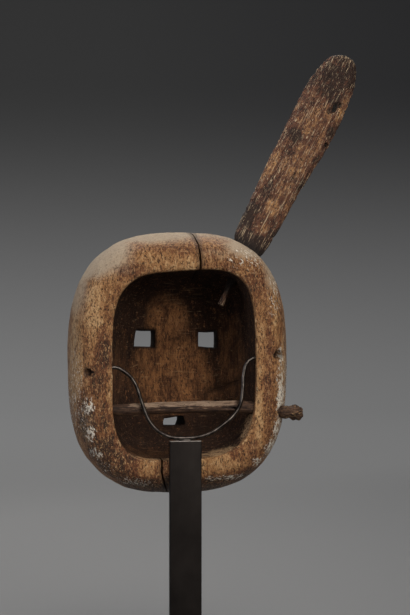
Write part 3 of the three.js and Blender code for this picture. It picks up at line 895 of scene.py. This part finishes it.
class CARVING_OT_shell(Operator):
    """Makes the mask's hollow shell: hand carved, worn at its edges and cracked along its grain"""

    bl_idname = "carving.shell"
    bl_label = "Carved shell"

    def carve(self, piece, settings):
        """Moves the true surface to a hand-carved one."""
        places, normals = points_of(piece), normals_of(piece)
        local = shell_local(piece)
        gouged = in_hollow(local, 1.09, 1.01) * plain_share(local)
        at_rim = smooth(local[:, 1], 26, 8) * smooth(bulge(piece, 4), 0.05, 0.2)
        chips = smooth(rumple(places, (15, 15, 15), 2, 3.0), 0.05, 0.5)
        height = settings.unevenness * rumple(places, (46, 46, 60), 3)
        height += settings.ripple * rumple(places, (11, 11, 30), 2, 7.0)
        height += settings.gouge_depth * gouged * (scallops(places, (9, 9, 26)) - 0.5)
        height -= settings.chip_depth * at_rim * chips
        height -= settings.mouth_wear * strongest(local, CORD_MOUTHS)
        height -= SIDE_TRIM * smooth(local[:, 0], -98, -110)
        move_points(piece, places + normals * height[:, None])

    def weather(self, piece):
        """Lays down what the material needs to know of each point."""
        local = shell_local(piece)
        depth, up = local[:, 1], normals_of(piece)[:, 2]
        edge = bulge(piece, 5)
        split = np.max([crack_share(local, path) for path, _ in SHELL_CRACKS], axis=0)
        cuts = [smooth(from_hole(local, inner), 2.3, 0.8) for inner, _ in FACE_HOLES]
        cuts = np.max(cuts, axis=0) * smooth(depth, 70, 80)
        around = [near(local, middle, AROUND_MOUTH) for middle, _, _ in CORD_MOUTHS]
        through = np.maximum(cuts, strongest(local, CORD_MOUTHS))
        # Painted shadow: the wall below the bar, where the bar's shadow falls, is darkened by the painted
        # shade and given less painted light.
        low = smooth(local[:, 2], -44, -58) * smooth(depth, 50, 75)
        hollow = np.maximum(in_hollow(local, 1.12, 0.99) * smooth(depth, 1, 9), cuts)
        wear = smooth(edge, 0.1, 0.5) * (1 - split) * (1 - np.max(around, axis=0))
        wear *= 1 - 0.85 * smooth(depth, 20, 50)
        # Painted shade: grooves, cracks, the sides of the face holes, the cord holes and the wall under
        # the bar are darkened in the paint.
        painted_shade = np.max([smooth(edge, -0.14, -0.6), 0.6 * split, 0.8 * through, 0.4 * low], axis=0)
        marks = {"hollow": hollow, "wear": wear, "painted_shade": painted_shade}
        marks.update({name: strongest(local, patches) for name, patches in SHELL_PATCHES.items()})
        settled = 0.75 * smooth(up, 0.5, 0.95) * smooth(depth, 8, 30) * (local[:, 2] > 0)
        marks["dust"] = np.maximum(marks["dust"] * (0.55 + 0.45 * smooth(up, -0.1, 0.7)), settled)
        marks["bare"] *= 1 - 0.7 * low
        # The pale band fades with depth into the hollow, as the painted light falling in over the rim
        # does.
        marks["silt_and_light"] *= hollow * smooth(depth, 66, 22)
        for name in ("stain", "rubbed", "dust", "kaolin"):
            marks[name] *= 1 - hollow
        for name, values in marks.items():
            lay(piece, name, values)

    def execute(self, context):
        settings = context.scene.carved_shell
        piece = copy_of_node("mask_shell", "mask_carved")
        modify(piece, "REMESH", mode="VOXEL", voxel_size=settings.grid)
        modify(piece, "SMOOTH", factor=0.5, iterations=1)
        weight(piece, "plain", plain_share(shell_local(piece)))
        modify(piece, "SMOOTH", factor=0.5, iterations=26, vertex_group="plain")
        piece.vertex_groups.clear()
        self.carve(piece, settings)
        for inner, outer in FACE_HOLES:
            cut(piece, hole_cutter(inner, outer))
        for path, jitter in SHELL_CRACKS:
            cut(piece, crack_cutter(path, jitter))
        self.weather(piece)
        finish_piece(piece, "mask_shell", carved_hardwood(settings))
        return {"FINISHED"}


# Marks on the horn, each with its place along and across the blade, its reach and its depth.
HORN_PITS = (
    ((187, 13), (7, 3.4), 2.4),
    ((180, 9), (4, 2.2), 1.4),
    ((193, 17), (4, 2.4), 1.8),
    ((146, 23.4), (2.4, 2.4), 3.2),
    ((126, 25.5), (2.0, 1.8), 1.6),
    ((62, -4), (3.0, 1.6), 0.8),
    ((96, 7), (5, 1.4), 0.9),
    ((215, -8), (6, 1.6), 0.9),
)

# Where the horn's finishes lie: a middle and a reach along and across the blade, and a strength.
HORN_PATCHES = {
    "rubbed": (
        ((192, 22), (20, 7), 1.0),
        ((178, 12), (10, 12), 0.45),
        ((158, -4), (22, 16), 0.5),
        ((140, 16), (14, 8), 0.4),
        ((110, 4), (32, 16), 0.65),
        ((96, -20), (34, 6), 0.8),
        ((76, 10), (18, 12), 0.55),
        ((51, 2), (12, 9), 1.4),
        ((58, 19), (12, 5), 0.8),
        ((28, 4), (8, 5), 0.8),
        ((236, -8), (6, 12), 0.4),
    ),
    "stain": (
        ((4, 0), (17, 34), 1.4),
        ((30, -16), (26, 10), 0.9),
        ((26, 17), (18, 8), 0.6),
        ((230, 4), (24, 30), 0.8),
        ((206, -6), (16, 26), 0.6),
        ((196, 6), (10, 9), 0.7),
        ((160, 20), (12, 6), 0.6),
        ((136, -12), (12, 8), 0.7),
        ((118, -8), (8, 6), 0.5),
        ((92, 18), (14, 6), 0.4),
        ((62, -12), (9, 7), 0.5),
    ),
}


class CARVING_OT_horn(Operator):
    """Makes the horn: a flat weathered blade with a tenon, its edges chipped and its grain raised"""

    bl_idname = "carving.horn"
    bl_label = "Weathered horn"

    def execute(self, context):
        settings = context.scene.carved_horn
        piece = copy_of_node("horn", "horn_carved")
        modify(piece, "REMESH", mode="VOXEL", voxel_size=settings.grid)
        modify(piece, "SMOOTH", factor=0.5, iterations=5)
        axes = np.array(horn_axes())
        places, normals = points_of(piece), normals_of(piece)
        local = (places - np.array(HORN_BASE)) @ axes
        facing = np.abs(normals @ axes)
        flat = local[:, (1, 0)] / MM
        along = flat[:, 0]
        blade = smooth(along, 0, 14)
        on_edge = blade * smooth(facing[:, 0], 0.35, 0.9)
        ends = rumple(local, (60, 13, 60), 3, 9.0)
        height = -settings.groove_depth * blade * smooth(rumple(local, (2.6, 46, 5), 2), 0.0, 0.55)
        height += settings.warp * blade * rumple(local, (20, 44, 20), 2, 5.0)
        height += settings.swell * on_edge * smooth(along, 110, 30)
        height -= settings.edge_loss * on_edge * smooth(ends, -0.05, 0.55)
        pits = np.zeros(len(local))
        for middle, reach, depth in HORN_PITS:
            away = (((flat - middle) / reach) ** 2).sum(axis=1)
            ragged = away * (1 + 0.5 * rumple(local, (2.5, 3.5, 4), 2, middle[0]))
            hole = smooth(ragged, 1.2, 0.35)
            height -= depth * MM * hole * smooth(facing[:, 2], 0.2, 0.7)
            pits = np.maximum(pits, hole * min(depth, 2) / 2)
        move_points(piece, places + normals * height[:, None])
        edge = bulge(piece, 4)
        tip = 0.4 * smooth(along, 236, 245)
        unpitted = 1 - smooth(neighbour_mean(piece, pits, 8), 0.02, 0.2)
        # Painted shade: the tenon is darkened where it sits inside the shell's wall, least at its tip.
        in_wall = (0.4 + 0.45 * smooth(along, -60, -48)) * (1 - blade)
        lay(piece, "wear", np.maximum(smooth(edge, 0.06, 0.35), tip) * unpitted)
        lay(piece, "painted_shade", np.max([smooth(edge, -0.1, -0.5), pits, in_wall], axis=0))
        for name, patches in HORN_PATCHES.items():
            lay(piece, name, strongest(flat, patches))
        finish_piece(piece, "horn", weathered_hardwood(settings))
        return {"FINISHED"}


# The depth of the bite bar's front, and the split there, as a crack's stops for a notch this deep.
BAR_FRONT = BAR_AXIS[0] - 6.5
SPLIT_DEPTH = 3.0 * MM
BAR_SPLIT = (
    (44.5, -40.9, 0, BAR_FRONT + 1.0, 0.2),
    (48.0, -41.3, 0, BAR_FRONT + 2.4, 0.9),
    (51.5, -42.2, 0, BAR_FRONT + 3.4, 1.9),
    (55.5, -43.8, 0, BAR_FRONT + 3.4, 1.6),
)


class CARVING_OT_bar(Operator):
    """Makes the bite bar: a whittled stick across the hollow, with its knob outside"""

    bl_idname = "carving.bar"
    bl_label = "Bite bar"

    def execute(self, context):
        settings = context.scene.carved_bar
        piece = copy_of_node("bite_bar", "bite_bar_whittled")
        modify(piece, "REMESH", mode="VOXEL", voxel_size=settings.grid)
        modify(piece, "SMOOTH", factor=0.5, iterations=8)
        places, normals = points_of(piece), normals_of(piece)
        along = shell_local(piece)[:, 0]
        around = np.arctan2(normals[:, 2], normals[:, 1])
        facets = np.cos(around * 7 + 1.5 * rumple(places, (40, 40, 40), 2)) * 0.5
        knob = smooth(along, 98, 104)
        neck = smooth(along, 97, 102) * smooth(along, 111, 106) * smooth(normals[:, 1], 0.5, -0.1)
        sloped = smooth(along, 113, 121) * smooth(normals[:, 2], -0.1, 0.8)
        height = settings.whittling * (0.5 * facets - 0.2 + 0.6 * rumple(places, (15, 7, 7), 3))
        height += settings.neck_growth * neck
        height -= settings.knob_slope * sloped
        height += settings.burl * knob * rumple(places, (5, 5, 5), 3, 6.0)
        height -= settings.fibre_depth * smooth(rumple(places, (26, 1.8, 1.8), 2, 4.0), 0.0, 0.5)
        move_points(piece, places + normals * height[:, None])
        deeper = settings.notch_depth / SPLIT_DEPTH
        path = []
        for x, z, start, end, half in BAR_SPLIT:
            path.append((x, z, start, BAR_FRONT + (end - BAR_FRONT) * deeper, half))
        cut(piece, crack_cutter(path, 0.2))
        local, normals = shell_local(piece), normals_of(piece)
        along, up = local[:, 0], normals[:, 2]
        notch = near(local, (51.0, BAR_FRONT, -42.4), (7.0, 7.0, 2.4))
        # Painted light and shade: the bar is grey where it faces up and dark underneath and towards both
        # ends, in the rim's shadow.
        dry_and_lit = smooth(up, -0.3, 0.45) * smooth(along, 58, 50) * smooth(along, -64, -48)
        lay(piece, "dry_and_lit", 0.1 + 0.9 * dry_and_lit)
        lay(piece, "knob", 0.25 * smooth(along, 98, 104))
        # Painted shade in the split and in the grooves.
        lay(piece, "painted_shade", np.maximum(notch, smooth(bulge(piece, 3), -0.06, -0.3)))
        finish_piece(piece, "bite_bar", whittled_stick(settings))
        return {"FINISHED"}


class CARVING_OT_rod(Operator):
    """Makes the bent round rod that carries the mask, with the weld that holds it on the post"""

    bl_idname = "carving.rod"
    bl_label = "Cradle rod"

    def execute(self, context):
        settings = context.scene.mask_steel
        piece = copy_of_node("cradle_rod", "cradle_rod_bent")
        low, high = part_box("stand_post")
        rod_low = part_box("cradle_rod")[0]
        middle = Vector(((low.x + high.x) / 2, (low.y + high.y) / 2, (high.z + rod_low.z) / 2))
        bpy.ops.object.select_all(action="DESELECT")
        bpy.ops.mesh.primitive_uv_sphere_add(segments=24, ring_count=12, radius=1, location=middle)
        bead = bpy.context.object
        bead.scale = Vector((settings.bead_length, settings.bead_width, settings.bead_height)) / 2
        bpy.ops.object.transform_apply(location=True, rotation=True, scale=True)
        modify(piece, "BOOLEAN", operation="UNION", object=bead, solver="MANIFOLD")
        bpy.data.objects.remove(bead)
        modify(piece, "REMESH", mode="VOXEL", voxel_size=settings.grid)
        modify(piece, "SMOOTH", factor=0.5, iterations=6)
        finish_piece(piece, "cradle_rod", burnished_steel(settings))
        return {"FINISHED"}


class CARVING_OT_stand(Operator):
    """Makes the post and the foot, with their sharp edges eased"""

    bl_idname = "carving.stand"
    bl_label = "Post and foot"

    def execute(self, context):
        settings = context.scene.mask_steel
        steel = blackened_steel(settings)
        for node, slot in (("stand_post", "post_steel"), ("stand_foot", "foot_steel")):
            piece = copy_of_node(node, node + "_eased")
            modify(piece, "BEVEL", width=settings.edge_round, segments=3, limit_method="ANGLE")
            finish_piece(piece, node, steel)
        return {"FINISHED"}


def area_light(name, place, target, size, power, tint, spread):
    """A square soft light that looks at a target, with its spread in degrees."""
    data = bpy.data.lights.new(name, "AREA")
    data.spread = math.radians(spread)
    data.size = size
    data.energy = power
    data.color = linear(tint)[:3]
    light = bpy.data.objects.new(name, data)
    light.location = place
    light.rotation_euler = (Vector(target) - Vector(place)).to_track_quat("-Z", "Y").to_euler()
    bpy.context.scene.collection.objects.link(light)


class CARVING_OT_stage(Operator):
    """Makes the studio: a seamless floor and backdrop all round, soft lights and the camera"""

    bl_idname = "carving.stage"
    bl_label = "Studio"

    def execute(self, context):
        settings = context.scene.mask_stage
        self.backdrop(settings)
        for name, light in LIGHTS.items():
            area_light(name, *light)
        world = bpy.data.worlds.new("studio_air")
        world.use_nodes = True
        air = world.node_tree.nodes["Background"].inputs
        air["Color"].default_value = linear(ROOM_TINT)
        air["Strength"].default_value = ROOM_STRENGTH
        context.scene.world = world
        context.scene.view_settings.view_transform = "Standard"
        data = bpy.data.cameras.new("camera")
        data.lens = settings.lens
        data.clip_end = 100
        camera = bpy.data.objects.new("camera", data)
        camera.location = CAMERA_PLACE
        camera.rotation_euler = (math.radians(90), 0, CAMERA_TURN)
        context.scene.collection.objects.link(camera)
        context.scene.camera = camera
        return {"FINISHED"}

    def backdrop(self, settings, sides=160, steps=16):
        """A round floor whose edge bends up into a wall, turned to face inwards."""
        bpy.ops.object.select_all(action="DESELECT")
        bpy.ops.mesh.primitive_circle_add(vertices=sides, radius=settings.floor_radius, fill_type="NGON")
        stage = bpy.context.object
        stage.name = "studio_paper"
        bpy.ops.object.mode_set(mode="EDIT")
        bpy.ops.mesh.select_all(action="SELECT")
        bpy.ops.mesh.region_to_loop()
        rings = [(settings.floor_radius, 0.0)]
        for step in range(1, steps + 1):
            angle = math.pi / 2 * step / steps
            radius = settings.floor_radius + settings.bend_radius * math.sin(angle)
            rings.append((radius, settings.bend_radius * (1 - math.cos(angle))))
        rings.append((rings[-1][0], rings[-1][1] + settings.wall_height))
        for (radius, height), (wider, higher) in zip(rings, rings[1:]):
            bpy.ops.mesh.extrude_edges_move(TRANSFORM_OT_translate={"value": (0, 0, higher - height)})
            grow = wider / radius
            bpy.ops.transform.resize(value=(grow, grow, 1), center_override=(0, 0, 0))
        bpy.ops.object.mode_set(mode="OBJECT")
        bpy.ops.object.shade_smooth_by_angle(angle=ROUND_ANGLE)
        stage.data.materials.append(graded_paper(settings))


class CARVING_PT_panel(Panel):
    bl_label = "Carved mask"
    bl_idname = "CARVING_PT_panel"
    bl_space_type = "VIEW_3D"
    bl_region_type = "UI"
    bl_category = "Carved mask"

    def draw(self, context):
        for name, (settings, operators) in GROUPS.items():
            box = self.layout.box()
            group = getattr(context.scene, name)
            for key in settings.__annotations__:
                box.prop(group, key)
            for operator in operators:
                box.operator(operator.bl_idname)


GROUPS = {
    "carved_shell": (ShellSettings, (CARVING_OT_shell,)),
    "carved_horn": (HornSettings, (CARVING_OT_horn,)),
    "carved_bar": (BarSettings, (CARVING_OT_bar,)),
    "mask_steel": (SteelSettings, (CARVING_OT_rod, CARVING_OT_stand)),
    "mask_stage": (StageSettings, (CARVING_OT_stage,)),
}


def register():
    for name, (settings, operators) in GROUPS.items():
        bpy.utils.register_class(settings)
        setattr(bpy.types.Scene, name, PointerProperty(type=settings))
        for operator in operators:
            bpy.utils.register_class(operator)
    bpy.utils.register_class(CARVING_PT_panel)


def unregister():
    bpy.utils.unregister_class(CARVING_PT_panel)
    for name, (settings, operators) in reversed(GROUPS.items()):
        for operator in operators:
            bpy.utils.unregister_class(operator)
        delattr(bpy.types.Scene, name)
        bpy.utils.unregister_class(settings)


def main():
    register()
    bpy.ops.carving.shell()
    bpy.ops.carving.horn()
    bpy.ops.carving.bar()
    bpy.ops.carving.rod()
    bpy.ops.carving.stand()
    bpy.ops.carving.stage()


if __name__ == "__main__":
    main()
